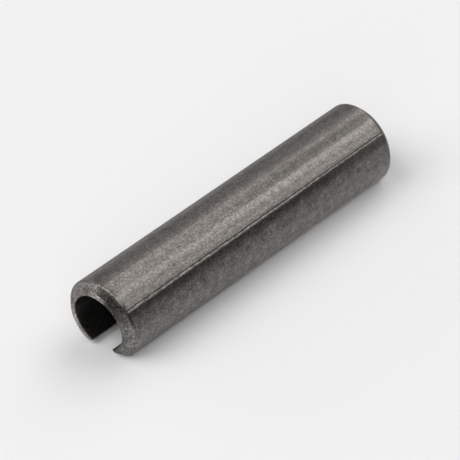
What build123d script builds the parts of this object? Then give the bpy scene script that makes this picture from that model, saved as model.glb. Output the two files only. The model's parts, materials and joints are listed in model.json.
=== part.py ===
"""Slotted spring pin: one strip of spring steel rolled into a C and swaged at both ends.

Millimetres, +Z up. The pin's axis is X, the middle of that axis is the origin, and the slot faces
straight down. A side is an angle round the axis, measured from +Y towards +Z.
"""

import os
from math import cos, radians, sin, tan

from build123d import *

# Driving dimensions
FREE_DIAMETER = 6.5  # outside, before the pin is driven in
LENGTH = 28.0  # along the axis
STRIP_THICKNESS = 1.0
SLOT_ANGLE = 52.6  # gap between the strip's two edges, seen from the axis
SLOT_SIDE = 270.0

LEAD_IN_DEPTH = 0.54  # how far the end face's rim stands inside the barrel
LEAD_IN_ANGLE = 47.0  # the cone's slope against the axis
LEAD_IN_BLEND = 0.5  # radius that rolls the cone over into the barrel
BLEND_EXIT_ANGLE = 14.0  # slope that is left where the blend meets the barrel
BLEND_TAIL_ANGLE = 2.0  # the die's own blend runs on to this slope, just outside the barrel

MOUTH_BREAK = 0.06  # 45 degree break round the bore's two mouths
INNER_LIP_RADIUS = 0.04  # the strip's edges along the slot: all but sharp inside,
OUTER_LIP_RADIUS = 0.75  # and rolled over outside, so that each lip ends in a claw

FRONT_LEAN = 3.0  # both ends are cropped a little out of square, the way that
REAR_LEAN = 1.7  # leaves the pin longest on its LEAN_SIDE
LEAN_SIDE = 30.0

SEAM_SIDE = 143.7  # where the forming tools met: a fine V groove along the barrel
SEAM_WIDTH = 0.18
SEAM_DEPTH = 0.07

# Worked out from them
OUTER = FREE_DIAMETER / 2
BORE = OUTER - STRIP_THICKNESS
END = -LENGTH / 2
CLEAR = 2.0  # how far a cutting shape runs past what it cuts


def rolled_strip():
    """The strip rolled into its open section, over-long. What is flat of its edges is radial."""
    first_edge = SLOT_SIDE + SLOT_ANGLE / 2
    turn = 360 - SLOT_ANGLE
    with BuildSketch(Plane.YZ) as section:
        with BuildLine():
            outside = CenterArc((0, 0), OUTER, first_edge, turn)
            inside = CenterArc((0, 0), BORE, first_edge, turn)
            Line(outside @ 0, inside @ 0)
            Line(outside @ 1, inside @ 1)
        make_face()
        fillet(section.vertices().sort_by_distance((0, 0, 0))[:2], INNER_LIP_RADIUS)
        fillet(section.vertices().sort_by_distance((0, 0, 0))[-2:], OUTER_LIP_RADIUS)
    return extrude(section.sketch, amount=LENGTH / 2 + CLEAR, both=True)


def end_cavity(lean):
    """The hollow of a swaging die round the -X end, over the whole pin. What is outside it goes."""
    crown = OUTER + LEAD_IN_BLEND * (1 - cos(radians(BLEND_EXIT_ANGLE)))
    rim = OUTER - LEAD_IN_DEPTH
    cone_length = (crown - rim) / tan(radians(LEAD_IN_ANGLE))
    blend_x = END + cone_length + LEAD_IN_BLEND * tan(radians(LEAD_IN_ANGLE / 2))
    with BuildSketch(Plane.XZ) as cavity:
        with BuildLine():
            blend = CenterArc(
                (blend_x, crown - LEAD_IN_BLEND),
                LEAD_IN_BLEND,
                90 + BLEND_TAIL_ANGLE,
                LEAD_IN_ANGLE - BLEND_TAIL_ANGLE,
            )
            Polyline(
                blend @ 1,
                (END, rim),
                (END, BORE + MOUTH_BREAK),
                (END + 2 * MOUTH_BREAK, BORE - MOUTH_BREAK),
                (END + CLEAR, 0),
                (-END + CLEAR, 0),
                (-END + CLEAR, OUTER + CLEAR),
                (blend_x + CLEAR, OUTER + CLEAR),
                blend @ 0,
            )
        make_face()
    meeting_x = blend_x - LEAD_IN_BLEND * sin(radians(BLEND_EXIT_ANGLE))
    hinge = Axis((meeting_x, 0, 0), (0, -sin(radians(LEAN_SIDE)), cos(radians(LEAN_SIDE))))
    return revolve(cavity.sketch, axis=Axis.X).rotate(hinge, lean)


def seam_groove():
    """The V that the forming tools leave along the barrel. It runs out on the lead-in cones."""
    wedge = Polygon(
        (OUTER - SEAM_DEPTH, 0),
        (OUTER + SEAM_DEPTH, SEAM_WIDTH),
        (OUTER + SEAM_DEPTH, -SEAM_WIDTH),
        align=None,
    )
    return extrude(Plane.YZ * wedge, amount=LENGTH, both=True).rotate(Axis.X, SEAM_SIDE)


front_end = end_cavity(FRONT_LEAN)
rear_end = mirror(end_cavity(REAR_LEAN), about=Plane.YZ)
spring_pin = (rolled_strip() & front_end & rear_end) - seam_groove()

os.makedirs("parts", exist_ok=True)
export_step(spring_pin, "parts/spring_pin.step")
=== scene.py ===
"""The looks of a slotted spring pin: the rolled strip as a fine mesh, its dark tumbled steel, and a
plain pale table under soft studio light. Metres, in the part's own frame.

The pin's axis is X and the slot faces straight down. A side is an angle round the axis, in degrees,
measured from +Y towards +Z.
"""

import json
from math import asin, atan2, ceil, cos, degrees, hypot, pi, radians, sin, sqrt, tan

import bpy
from mathutils import Matrix, Vector


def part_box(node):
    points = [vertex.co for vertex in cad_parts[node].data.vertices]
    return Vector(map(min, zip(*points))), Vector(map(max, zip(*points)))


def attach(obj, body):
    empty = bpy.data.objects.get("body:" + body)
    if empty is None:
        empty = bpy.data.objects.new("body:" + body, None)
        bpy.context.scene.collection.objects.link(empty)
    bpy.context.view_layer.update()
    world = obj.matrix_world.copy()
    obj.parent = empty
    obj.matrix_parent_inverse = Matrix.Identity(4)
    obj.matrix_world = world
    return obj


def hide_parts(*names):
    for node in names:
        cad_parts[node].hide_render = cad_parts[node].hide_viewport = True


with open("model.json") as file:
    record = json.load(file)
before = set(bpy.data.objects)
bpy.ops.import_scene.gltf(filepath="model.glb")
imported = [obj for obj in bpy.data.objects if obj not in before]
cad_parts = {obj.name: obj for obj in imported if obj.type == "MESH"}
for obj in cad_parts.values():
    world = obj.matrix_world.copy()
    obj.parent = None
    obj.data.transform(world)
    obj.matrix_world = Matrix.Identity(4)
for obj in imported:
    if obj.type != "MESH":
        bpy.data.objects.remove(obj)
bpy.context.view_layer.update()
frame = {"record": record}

MM = 0.001

# ---------------------------------------------------------------- the pin's sizes

mounts = {mount["name"]: mount["dims"] for mount in frame["record"]["mounts"]}
OUTER = mounts["shank"]["r_mm"] * MM
BORE = mounts["bore"]["r_mm"] * MM
WALL = OUTER - BORE
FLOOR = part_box("spring_pin")[0].z

END = 13.998 * MM  # where the end faces cross the axis
SLOT_SIDE = 270.0
SLOT_ANGLE = 52.6  # the slot's opening, as seen from the axis

LEAD_IN_DEPTH = 0.54 * MM
LEAD_IN_ANGLE = 47.0
LEAD_IN_BLEND = 0.5 * MM
BLEND_EXIT_ANGLE = 14.0  # how steeply the blend leaves the barrel
FRONT_LEAN = 3.0  # how far each end is out of square, in degrees
REAR_LEAN = 1.7
LEAN_SIDE = 30.0  # the side on which the leaning ends reach furthest

LIP_RADIUS = 0.75 * MM  # the strip's outer corners, rolled over along the slot
MOUTH_RADIUS = 0.08 * MM  # the bore's mouths
EDGE_RADIUS = 0.04 * MM  # every other corner, tumbled

SEAM_SIDE = 141.75  # the upper edge of the seam's groove, half-way along the pin
SEAM_SKEW = -1.55  # degrees that it turns from the near end to the far one
SKEW_MIDDLE = 2.0  # degrees past the groove's upper edge, where the wall turns with it in full
SKEW_REACH = 40.0  # degrees away from there, where the wall doesn't turn at all
SEAM_GROOVE = (  # across the seam, downwards: (degrees past its upper edge, millimetres deep)
    (0.0, 0.0), (0.25, 0.022), (0.6, 0.034), (1.0, 0.031), (1.6, 0.014), (2.3, 0.003),
    (3.2, 0.002), (3.6, 0.005), (3.9, 0.012), (4.2, 0.020), (4.6, 0.026),
)
HOLLOW_DEPTH = 0.028  # millimetres, of the shallow hollow below the groove
HOLLOW_START = 5.0  # degrees past the groove's upper edge
HOLLOW_END = 38.0

ROLL_STEP = 2.5  # degrees, the widest facet round the pin
BARREL_FACETS = 90  # along the barrel
WALL_FACETS = 4  # through the wall
BLEND_FACETS = 6
CONE_FACETS = 3
LIP_FACETS = 12
MOUTH_FACETS = 4
TUMBLED_FACETS = 3
TUMBLED_ANGLE = 35  # a corner is tumbled where its faces turn by more than this
SMOOTH_ANGLE = 40  # and looks smooth where they turn by less than this

SAME_PLACE = 0.0001 * MM  # points closer than this count as one place
SAME_SIDE = 0.02  # degrees
SHRUNK = 0.004 * MM  # edges shorter than this are cleared away


def side(angle):
    """The unit vector that points out of the pin on that side."""
    return Vector((0.0, cos(radians(angle)), sin(radians(angle))))


def side_of(point):
    """The side that a point is on, from 0 to 360."""
    return degrees(atan2(point.z, point.y)) % 360


def radius_of(point):
    """How far a point is from the axis."""
    return hypot(point.y, point.z)


def near_side(point, angle):
    """Whether a point is on that side, to within SAME_SIDE."""
    return abs((side_of(point) - angle + 180) % 360 - 180) < SAME_SIDE


def ease(share):
    """A smooth rise from 0 to 1 as share goes from 0 to 1."""
    return share * share * (3 - 2 * share)


# ---------------------------------------------------------------- modelling helpers


def start_edit(piece):
    """Opens that piece alone in edit mode."""
    bpy.ops.object.select_all(action="DESELECT")
    bpy.context.view_layer.objects.active = piece
    piece.select_set(True)
    bpy.ops.object.mode_set(mode="EDIT")


def pick(piece, wanted):
    """In edit mode, selects the vertices for whose place wanted(place) is true, and no others."""
    bpy.ops.mesh.select_mode(type="VERT")
    bpy.ops.mesh.select_all(action="DESELECT")
    bpy.ops.object.mode_set(mode="OBJECT")
    for vertex in piece.data.vertices:
        vertex.select = wanted(vertex.co)
    bpy.ops.object.mode_set(mode="EDIT")


# ---------------------------------------------------------------- the rolled strip


def lead_in_stations():
    """The wall's outside from the barrel to the end face: (distance past the barrel, radius) pairs."""
    crown = OUTER + LEAD_IN_BLEND * (1 - cos(radians(BLEND_EXIT_ANGLE)))
    stations = []
    for step in range(BLEND_FACETS + 1):
        slope = radians(BLEND_EXIT_ANGLE + (LEAD_IN_ANGLE - BLEND_EXIT_ANGLE) * step / BLEND_FACETS)
        reach = LEAD_IN_BLEND * (sin(slope) - sin(radians(BLEND_EXIT_ANGLE)))
        stations.append((reach, crown - LEAD_IN_BLEND * (1 - cos(slope))))
    cone_start, cone_top = stations[-1]
    cone_depth = cone_top - (OUTER - LEAD_IN_DEPTH)
    for step in range(1, CONE_FACETS + 1):
        down = cone_depth * step / CONE_FACETS
        stations.append((cone_start + down / tan(radians(LEAD_IN_ANGLE)), cone_top - down))
    return stations


LEAD_IN = lead_in_stations()
BARREL_END = END - LEAD_IN[-1][0]


def wall_section():
    """The wall's lengthwise section as a strip of quads, standing above the axis."""
    bpy.ops.mesh.primitive_grid_add(
        x_subdivisions=BARREL_FACETS,
        y_subdivisions=WALL_FACETS,
        size=1,
        location=(0, 0, BORE + WALL / 2),
        rotation=(radians(90), 0, 0),
    )
    wall = bpy.context.object
    wall.name = "rolled_strip"
    wall.scale = (2 * BARREL_END, WALL, 1)
    bpy.ops.object.transform_apply(location=True, rotation=True, scale=True)
    start_edit(wall)
    for end in (-1, 1):
        pick(wall, lambda place: abs(place.x - end * BARREL_END) < SAME_PLACE)
        for (last_reach, last_radius), (reach, radius) in zip(LEAD_IN, LEAD_IN[1:]):
            step = end * (reach - last_reach)
            bpy.ops.mesh.extrude_region_move(TRANSFORM_OT_translate={"value": (step, 0, 0)})
            thinner = (radius - BORE) / (last_radius - BORE)
            bpy.ops.transform.resize(value=(1, 1, thinner), center_override=(0, 0, BORE))
    return wall


def lip_section():
    """The rolled-over corner: (degrees from the lip's flat, share of the wall's thickness) pairs."""
    middle = Vector((sqrt((OUTER - LIP_RADIUS) ** 2 - LIP_RADIUS ** 2), LIP_RADIUS))
    run_out = asin(LIP_RADIUS / (OUTER - LIP_RADIUS))
    section = []
    for step in range(LIP_FACETS + 1):
        swing = (run_out + pi / 2) * step / LIP_FACETS - pi / 2
        place = middle + LIP_RADIUS * Vector((cos(swing), sin(swing)))
        section.append((degrees(atan2(place.y, place.x)), (place.length - BORE) / WALL))
    return section


def seam_section():
    """The groove, and the hollow below it, which runs out by HOLLOW_END."""
    section = list(SEAM_GROOVE)
    steps = ceil((HOLLOW_END - HOLLOW_START) / ROLL_STEP)
    for step in range(steps + 1):
        share = step / steps
        past = HOLLOW_START + (HOLLOW_END - HOLLOW_START) * share
        section.append((past, HOLLOW_DEPTH * (1 - ease(share))))
    return section


LIP = lip_section()
SEAM = seam_section()
FIRST_LIP = SLOT_SIDE + SLOT_ANGLE / 2 - 360
LAST_LIP = SLOT_SIDE - SLOT_ANGLE / 2


def roll_up(wall):
    """Rolls the section round the axis into the open C, with finer steps at its lips and its seam."""
    lines = [FIRST_LIP + past for past, share in LIP]
    lines += [SEAM_SIDE + past for past, depth in SEAM]
    lines += [LAST_LIP - past for past, share in reversed(LIP)]
    bpy.ops.mesh.select_all(action="SELECT")
    for last, line in zip(lines, lines[1:]):
        steps = ceil((line - last - SAME_SIDE) / ROLL_STEP)
        turn = -radians(line - last)
        bpy.ops.mesh.spin(steps=steps, angle=turn, center=(0, 0, 0), axis=(1, 0, 0))
    bpy.ops.object.mode_set(mode="OBJECT")
    wall.rotation_euler.x = radians(FIRST_LIP - 90)
    bpy.ops.object.transform_apply(location=True, rotation=True, scale=True)


def shape_lips(wall):
    """Thins the wall towards each lip, line by line, until its outer corner is a quarter round."""
    start_edit(wall)
    for past, share in LIP[:-1]:
        for angle in (FIRST_LIP + past, LAST_LIP - past):
            pick(wall, lambda place: near_side(place, angle))
            bpy.ops.transform.resize(value=(1, share, share), center_override=BORE * side(angle))
    bpy.ops.object.mode_set(mode="OBJECT")


def press_seam(wall):
    """Presses the seam's groove and the hollow below it into the barrel, with a ridge between them."""

    def on_barrel(place):
        return abs(place.x) < BARREL_END + SAME_PLACE and radius_of(place) > OUTER - SAME_PLACE

    start_edit(wall)
    for past, depth in SEAM:
        pick(wall, lambda place: on_barrel(place) and near_side(place, SEAM_SIDE + past))
        smaller = 1 - depth * MM / OUTER
        bpy.ops.transform.resize(value=(1, smaller, smaller), center_override=(0, 0, 0))
    bpy.ops.object.mode_set(mode="OBJECT")


def skew_seam(wall):
    """Turns the seam a little round the axis from one end to the other, and less what is beside it."""
    group = wall.vertex_groups.new(name="beside_seam")
    for vertex in wall.data.vertices:
        away = abs(side_of(vertex.co) - SEAM_SIDE - SKEW_MIDDLE)
        group.add([vertex.index], ease(max(0.0, 1 - away / SKEW_REACH)), "REPLACE")
    twist = wall.modifiers.new("skew", "SIMPLE_DEFORM")
    twist.deform_method = "TWIST"
    twist.deform_axis = "X"
    twist.angle = radians(SEAM_SKEW)
    twist.vertex_group = group.name
    bpy.ops.object.modifier_apply(modifier=twist.name)


def round_mouths(wall):
    """Rounds the edge of the bore at both ends."""

    def on_mouth(place):
        return radius_of(place) < BORE + SAME_PLACE and abs(place.x) > END - SAME_PLACE

    start_edit(wall)
    pick(wall, on_mouth)
    bpy.ops.mesh.bevel(offset=MOUTH_RADIUS, segments=MOUTH_FACETS)
    bpy.ops.object.mode_set(mode="OBJECT")


def tumble_edges(wall):
    """Rounds every corner that is still sharp, and clears what has shrunk to nothing there."""
    bevel = wall.modifiers.new("tumbled", "BEVEL")
    bevel.limit_method = "ANGLE"
    bevel.angle_limit = radians(TUMBLED_ANGLE)
    bevel.width = EDGE_RADIUS
    bevel.segments = TUMBLED_FACETS
    bpy.ops.object.modifier_apply(modifier=bevel.name)
    start_edit(wall)
    bpy.ops.mesh.select_all(action="SELECT")
    bpy.ops.mesh.dissolve_degenerate(threshold=SHRUNK)
    bpy.ops.object.mode_set(mode="OBJECT")


def lean_ends(wall):
    """Slants each end, the way that leaves the pin longest on LEAN_SIDE. The bore stays straight."""
    for end, lean in ((-1, FRONT_LEAN), (1, REAR_LEAN)):
        for vertex in wall.data.vertices:
            if end * vertex.co.x > BARREL_END - SAME_PLACE:
                vertex.co.x += end * tan(radians(lean)) * vertex.co.dot(side(LEAN_SIDE))


def face_outwards(wall):
    """Turns every face outwards and shades the round ones smooth."""
    start_edit(wall)
    bpy.ops.mesh.select_all(action="SELECT")
    bpy.ops.mesh.normals_make_consistent(inside=False)
    bpy.ops.object.mode_set(mode="OBJECT")
    bpy.ops.object.shade_smooth_by_angle(angle=radians(SMOOTH_ANGLE))


# ---------------------------------------------------------------- shader helpers


class Value:
    """What a socket gives out. Arithmetic on it adds Math nodes to its material."""

    def __init__(self, shader, socket):
        self.shader = shader
        self.socket = socket

    def __add__(self, other):
        return self.shader.maths("ADD", self, other)

    def __sub__(self, other):
        return self.shader.maths("SUBTRACT", self, other)

    def __rsub__(self, other):
        return self.shader.maths("SUBTRACT", other, self)

    def __mul__(self, other):
        return self.shader.maths("MULTIPLY", self, other)

    __radd__ = __add__
    __rmul__ = __mul__


class Shader:
    """A new material's node tree, built up by calls."""

    def __init__(self, name):
        self.material = bpy.data.materials.new(name)
        self.material.use_nodes = True
        self.tree = self.material.node_tree
        self.surface = self.tree.nodes["Principled BSDF"]

    def node(self, kind, settings=None, inputs=None, output=0):
        """Adds a node: its settings first, then a value or a link for each named socket."""
        node = self.tree.nodes.new("ShaderNode" + kind)
        for name, setting in (settings or {}).items():
            setattr(node, name, setting)
        self.feed(node, inputs or {})
        return Value(self, node.outputs[output])

    def feed(self, node, inputs):
        """Gives each named socket its value or its link."""
        for name, value in inputs.items():
            if isinstance(value, Value):
                self.tree.links.new(value.socket, node.inputs[name])
            else:
                node.inputs[name].default_value = value

    def maths(self, operation, *values):
        """One Math node."""
        return self.node("Math", {"operation": operation}, dict(enumerate(values)))

    def between(self, value, low, high):
        """0 below low, 1 above high, and a smooth rise from one to the other. Low may be the higher."""
        limits = {"Value": value, "From Min": low, "From Max": high}
        return self.node("MapRange", {"interpolation_type": "SMOOTHSTEP"}, limits)

    def window(self, value, start, full, fading, gone):
        """1 from full to fading, and 0 before start and after gone."""
        return self.between(value, start, full) * self.between(value, gone, fading)

    def noise(self, place, scale, detail, roughness):
        """Noise about 0, within -1 and 1, with features about 1/scale across."""
        inputs = {"Vector": place, "Scale": scale, "Detail": detail, "Roughness": roughness}
        return self.node("TexNoise", {}, inputs) * 2.0 - 1.0


# ---------------------------------------------------------------- spring steel

WARM_STEEL = (0.214, 0.190, 0.170, 1)
COOL_STEEL = (0.196, 0.190, 0.186, 1)
SPECULAR_TINT = (0.8, 0.8, 0.8, 1)
DRAWN_OUT = (0.03, 1.0, 1.0)  # stretches noise along the strip
BUMP_HEIGHT = 0.02 * MM
ROUGHNESS = 0.38
# Painted shade: how much it darkens the seam's groove, the hollow below it and the bore.
GROOVE_SHADE_STRENGTH = 0.9
HOLLOW_SHADE_STRENGTH = 0.73
BORE_SHADE_STRENGTH = 0.86
BORE_OVERLAP = 0.06  # millimetres that the bore's painted shade reaches over its rim, behind and at the claw

# How strongly each pattern lightens and darkens the steel.
GRAIN_STRENGTH = 1.5
MOTTLE_STRENGTH = 0.45
LINES_STRENGTH = 0.2
BANDS_STRENGTH = 0.1
WEAR_STRENGTH = 1.1

# Where a mark starts, is full, starts to fade and is gone.
GROOVE_SHADE_ZONE = (0.0, 0.3, 1.3, 1.9)  # degrees past the groove's upper edge
SEAM_RIDGE = (1.5, 2.0, 3.8, 4.8)
SEAM_HOLLOW = (3.7, 4.3, 7.0, 38.0)
LEAD_IN_EDGE = (-0.06, 0.0, 0.14, 0.22)  # millimetres past the barrel's end
SCUFFED = (84, 92, 138, 146)  # degrees round the pin

# Where a change starts, and from where on it is full.
BEHIND = (40, 10)  # degrees round the pin
AT_CLAW = (226, 236)
LOW_SIDE = (146, 172)
COOLER = (140, 212)
ON_END = (0.07, 0.12)  # millimetres past the barrel's end
FACE_RIM = (OUTER - LEAD_IN_DEPTH) / MM
ON_FACE = (FACE_RIM + 0.07, FACE_RIM - 0.01)  # millimetres from the axis
IN_BORE = (BORE / MM + 0.04, BORE / MM + 0.01)
FAR_STREAKS = (-11.0, 8.0)  # millimetres along the pin
CALMER_GRAIN = (0.0, 9.0)
DIMMER_RIDGE = (0.0, 8.0)
LIGHTER_HOLLOW = (6.0, 12.0)

# Lengthwise streaks, each in degrees round the pin: where it starts, is full, starts to fade and
# is gone, and how much lighter it is at the near end and at the far end. They are partly the strip's
# finish and partly painted highlights and painted shade.
BARREL_TONE = 1.10
BARREL_FINISH_AND_PAINTED_LIGHT = (
    (40, 54, 55, 69, -0.60, -0.65),  # darker along the back: painted shade
    (68, 76, 80, 88, 0.15, 0.20),  # lighter along the top: burnish and painted highlight
    (84, 92, 97, 98.5, -0.15, -0.25),  # darker, with a crisp edge: a finish edge and painted shade
    (97, 98.5, 103, 116, 0.28, -0.10),  # a bright strip that runs out before the far end: finish and painted highlight
    (100, 110, 116, 120, -0.08, -0.40),  # a darker strip that fades towards the near end: finish and painted shade
    (118, 121, 123, 132, 0.15, 0.22),  # a fine bright line: finish and painted highlight
    (130, 138, 154, 166, 0.55, 0.50),  # lighter above and below the seam: burnish and painted highlight
    (161, 169, 175, 190, -0.31, -0.31),  # darker under it: finish and painted shade
    (188, 206, 216, 234, 0.30, 0.35),  # lighter low on the side: burnish and painted reflection of the table
    (208, 217, 230, 246, 0.00, 0.80),  # and lower still, towards the far end: burnish and painted reflection of the table
)
EDGE_PAINTED_LIGHT = (
    (42, 52, 67, 83, -0.65, 0.0),  # darker behind: painted shade
    (100, 113, 120, 136, 0.75, 0.0),  # bright: painted highlight
    (129, 137, 154, 182, -0.60, 0.0),  # darker beside the seam: painted shade
)
CONE_TONE = 0.93
CONE_PAINTED_SHADE = (
    (-75, -60, 30, 50, -0.50, 0.0),  # darker behind: painted shade
    (80, 106, 118, 195, -0.76, 0.0),  # a dark arc over the top: painted dark reflection
)
# The far lead-in is painted darker all round, as shade.
FAR_CONE_TONE = 0.60
FAR_CONE_PAINTED_SHADE = (
    (40, 60, 145, 170, 0.0, -0.25),  # darker over the top: painted shade
)
FACE_TONE = 0.92
FACE_PAINTED_LIGHT = (
    (-75, -60, -5, 20, 0.60, 0.0),  # bright behind: painted highlight
    (76, 90, 103, 112, 0.45, 0.0),  # and on top: painted highlight
    (107, 121, 136, 172, -0.72, 0.0),  # a dark arc beside it: painted dark reflection
)


def streaked(shader, angle, far, base, streaks):
    """A base tone and the streaks on it, of finish, painted highlight and painted shade. Far is 0 at
    the near end and 1 at the far end.
    """
    tone = base
    for start, full, fading, gone, near_change, far_change in streaks:
        change = near_change + (far_change - near_change) * far
        tone = tone + shader.window(angle, start, full, fading, gone) * change
    return tone


class Spot:
    """Where a shaded point is on the pin, as values in a shader: millimetres, and degrees round it."""

    def __init__(self, shader):
        metres = shader.node("TexCoord", output="Object")
        self.place = shader.node("VectorMath", {"operation": "SCALE"}, {0: metres, "Scale": 1 / MM})
        self.along, across, height = (
            shader.node("SeparateXYZ", {}, {0: self.place}, axis) for axis in "XYZ"
        )
        turn = shader.maths("ARCTAN2", height, across) * degrees(1)
        self.angle = turn + 360.0 * shader.maths("LESS_THAN", turn, SLOT_SIDE - 360)
        self.radius = shader.maths("SQRT", across * across + height * height)
        self.at_front = shader.maths("LESS_THAN", self.along, 0.0)
        front, rear = tan(radians(FRONT_LEAN)), tan(radians(REAR_LEAN))
        lean = rear + (front - rear) * self.at_front
        leaning = across * cos(radians(LEAN_SIDE)) + height * sin(radians(LEAN_SIDE))
        self.past_barrel = shader.maths("ABSOLUTE", self.along) - BARREL_END / MM - lean * leaning


def seam_tone(shader, spot, mottle):
    """How light the seam leaves the barrel: painted shade in the groove, random wear on the ridge that
    is painted darker towards the far end, and painted shade in the hollow below the ridge.
    """
    past_seam = spot.angle - SEAM_SIDE - SEAM_SKEW * MM / (2 * END) * spot.along + 1.2 * mottle
    # Painted shade in the groove.
    groove_shade = shader.window(past_seam, *GROOVE_SHADE_ZONE)
    ridge = shader.window(past_seam, *SEAM_RIDGE)
    ridge_wear_and_shade = WEAR_STRENGTH * shader.noise(spot.place, scale=3.0, detail=2.0, roughness=0.6)
    # Painted shade on the ridge towards the far end, over its random wear.
    ridge_wear_and_shade = ridge_wear_and_shade - 0.25 * shader.between(spot.along, *DIMMER_RIDGE)
    # Painted shade in the hollow below the ridge, lighter towards the far end.
    hollow = shader.window(past_seam + 0.03 * spot.along, *SEAM_HOLLOW)
    hollow = hollow * (HOLLOW_SHADE_STRENGTH - 0.16 * shader.between(spot.along, *LIGHTER_HOLLOW))
    return (1.0 - GROOVE_SHADE_STRENGTH * groove_shade) * (1.0 + ridge_wear_and_shade * ridge) * (1.0 - hollow)


def barrel_tone(shader, spot, mottle):
    """How light the barrel is."""
    far = shader.between(spot.along, *FAR_STREAKS)
    tone = streaked(shader, spot.angle, far, BARREL_TONE, BARREL_FINISH_AND_PAINTED_LIGHT)
    return tone * seam_tone(shader, spot, mottle)


def end_tone(shader, spot, mottle):
    """How light the lead-ins and the end faces are, with their painted highlights and painted shade."""
    rough_angle = spot.angle + 5.0 * mottle
    cone = streaked(shader, rough_angle, 0.0, CONE_TONE, CONE_PAINTED_SHADE)
    face = streaked(shader, rough_angle, 0.0, FACE_TONE, FACE_PAINTED_LIGHT)
    near_end = cone + (face - cone) * shader.between(spot.radius, *ON_FACE)
    far_end = streaked(shader, rough_angle, 1.0, FAR_CONE_TONE, FAR_CONE_PAINTED_SHADE)
    return far_end + (near_end - far_end) * spot.at_front


def bore_share(shader, spot):
    """1 inside the bore and 0 outside it."""
    overlap = shader.between(spot.angle, *BEHIND) + shader.between(spot.angle, *AT_CLAW)
    return shader.between(spot.radius - BORE_OVERLAP * overlap, *IN_BORE)


def spring_steel():
    """Dark tumbled steel: a fine mottle, bands and streaks along the strip that are partly painted
    highlights and painted shade, and painted shade in the seam and the bore.
    """
    shader = Shader("spring_steel")
    spot = Spot(shader)
    drawn = shader.node("VectorMath", {"operation": "MULTIPLY"}, {0: spot.place, 1: DRAWN_OUT})
    grain = shader.noise(spot.place, scale=6.5, detail=3.0, roughness=0.75)
    mottle = shader.noise(spot.place, scale=1.8, detail=3.0, roughness=0.6)
    lines = shader.noise(drawn, scale=6.0, detail=2.0, roughness=0.6)
    bands = shader.noise(drawn, scale=0.9, detail=1.0, roughness=0.5)
    tarnish = shader.noise(spot.place, scale=2.4, detail=2.0, roughness=0.5)

    in_bore = bore_share(shader, spot)
    on_end = shader.between(spot.past_barrel, *ON_END)
    on_edge = shader.window(spot.past_barrel, *LEAD_IN_EDGE) * spot.at_front
    low_side = shader.between(spot.angle, *LOW_SIDE)
    scuffed = shader.window(spot.angle, *SCUFFED)

    barrel = barrel_tone(shader, spot, mottle)
    tone = barrel + (end_tone(shader, spot, mottle) - barrel) * on_end
    # Painted highlight and painted shade along the near lead-in's edge.
    tone = tone * (1.0 + streaked(shader, spot.angle, 0.0, 0.0, EDGE_PAINTED_LIGHT) * on_edge)
    speckle = (GRAIN_STRENGTH - 0.4 * shader.between(spot.along, *CALMER_GRAIN)) * grain
    speckle = speckle + (MOTTLE_STRENGTH + 0.25 * low_side) * mottle
    speckle = speckle * (1.0 + (0.4 + 0.8 * scuffed) * on_end)
    speckle = speckle + LINES_STRENGTH * lines + BANDS_STRENGTH * bands
    tone = tone * shader.maths("EXPONENT", speckle)
    # Painted shade inside the bore, reaching over its rim behind and at the claw.
    tone = tone * (1.0 - BORE_SHADE_STRENGTH * in_bore)

    warmth = 0.50 - 0.42 * shader.between(spot.angle, *COOLER) + (0.3 + 1.0 * low_side) * tarnish
    steel = shader.node(
        "Mix", {"data_type": "RGBA"}, {"Factor": warmth, 6: COOL_STEEL, 7: WARM_STEEL}, 2
    )
    colour = shader.node("VectorMath", {"operation": "SCALE"}, {0: steel, "Scale": tone})
    relief = 0.7 * grain + 0.3 * lines
    bump = shader.node("Bump", {}, {"Height": relief, "Strength": 0.3, "Distance": BUMP_HEIGHT})
    shader.feed(shader.surface, {
        "Base Color": colour,
        "Metallic": 1.0 - 0.2 * in_bore,
        "Roughness": ROUGHNESS + 0.06 * mottle,
        "Specular Tint": SPECULAR_TINT,
        "Normal": bump,
    })
    return shader.material


wall = wall_section()
roll_up(wall)
shape_lips(wall)
round_mouths(wall)
tumble_edges(wall)
press_seam(wall)
skew_seam(wall)
lean_ends(wall)
face_outwards(wall)
wall.data.materials.append(spring_steel())

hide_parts("spring_pin")
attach(wall, "root")

# ---------------------------------------------------------------- table, light and camera

TABLE_WIDTH = 4.0  # metres
TABLE_COLOUR = (0.87, 0.87, 0.87, 1)
WORLD_COLOUR = (1, 1, 1, 1)
WORLD_LEVEL = 0.2

LAMP_DISTANCE = 1.0  # metres
LAMPS = {  # name: (heading as seen from the pin, height in degrees, width, how tall, radiance)
    "key": (330, 50, 0.7, 0.7, 1.3),
    "left": (150, 50, 0.9, 0.9, 2.4),
    "front": (225, 30, 0.7, 0.7, 2.1),
    "back": (30, 50, 0.7, 0.7, 0.5),
    "back_right": (15, 30, 0.7, 0.7, 1.4),
    "side_low": (90, 11, 0.7, 0.4, 2.0),
}

CAMERA_PLACE = (-121.32 * MM, -138.66 * MM, 138.13 * MM)
CAMERA_HEADING = 48.944  # level direction of view, from +X towards +Y
CAMERA_DIP = 36.886
CAMERA_ROLL = -7.146
LENS = 244.69  # millimetres
SENSOR = 36.0  # millimetres across
CLIP_START = 0.01  # metres
CLIP_END = 10.0


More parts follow.
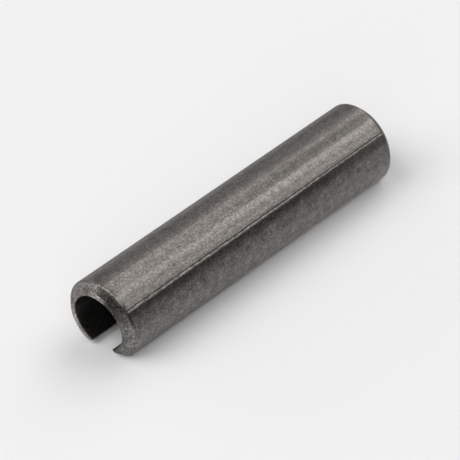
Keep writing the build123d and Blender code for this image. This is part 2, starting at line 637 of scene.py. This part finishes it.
def softbox(name, heading, height, width, tall, radiance):
    """A soft rectangular lamp that faces the pin, in metres."""
    lamp = bpy.data.lights.new(name, "AREA")
    lamp.shape = "RECTANGLE"
    lamp.size = width
    lamp.size_y = tall
    lamp.energy = radiance * pi * width * tall
    turn = Matrix.Rotation(radians(heading), 3, "Z") @ Matrix.Rotation(radians(-height), 3, "Y")
    place = turn @ Vector((LAMP_DISTANCE, 0, 0))
    holder = bpy.data.objects.new(name, lamp)
    holder.location = place
    holder.rotation_euler = (-place).to_track_quat("-Z", "Y").to_euler()
    bpy.context.scene.collection.objects.link(holder)


def view_camera():
    """A camera at CAMERA_PLACE that looks down by CAMERA_DIP, rolled about its line of view."""
    heading, dip, roll = radians(CAMERA_HEADING), radians(CAMERA_DIP), radians(CAMERA_ROLL)
    forward = Vector((cos(dip) * cos(heading), cos(dip) * sin(heading), -sin(dip)))
    level_right = Vector((sin(heading), -cos(heading), 0))
    level_up = level_right.cross(forward)
    right = level_right * cos(roll) + level_up * sin(roll)
    up = level_up * cos(roll) - level_right * sin(roll)
    lens = bpy.data.cameras.new("camera")
    lens.lens = LENS
    lens.sensor_width = SENSOR
    lens.clip_start = CLIP_START
    lens.clip_end = CLIP_END
    camera = bpy.data.objects.new("camera", lens)
    bpy.context.scene.collection.objects.link(camera)
    turn = Matrix((right, up, -forward)).transposed().to_4x4()
    camera.matrix_world = Matrix.Translation(CAMERA_PLACE) @ turn
    return camera


bpy.ops.mesh.primitive_plane_add(size=TABLE_WIDTH, location=(0, 0, FLOOR))
table = bpy.context.object
table.name = "table"
pale = Shader("pale_table")
pale.feed(pale.surface, {"Base Color": TABLE_COLOUR, "Roughness": 1.0, "Specular IOR Level": 0.0})
table.data.materials.append(pale.material)

world = bpy.data.worlds.new("studio")
world.use_nodes = True
background = world.node_tree.nodes["Background"]
background.inputs["Color"].default_value = WORLD_COLOUR
background.inputs["Strength"].default_value = WORLD_LEVEL
bpy.context.scene.world = world

for name, setting in LAMPS.items():
    softbox(name, *setting)

bpy.context.scene.camera = view_camera()

bpy.context.scene.view_settings.view_transform = "Standard"
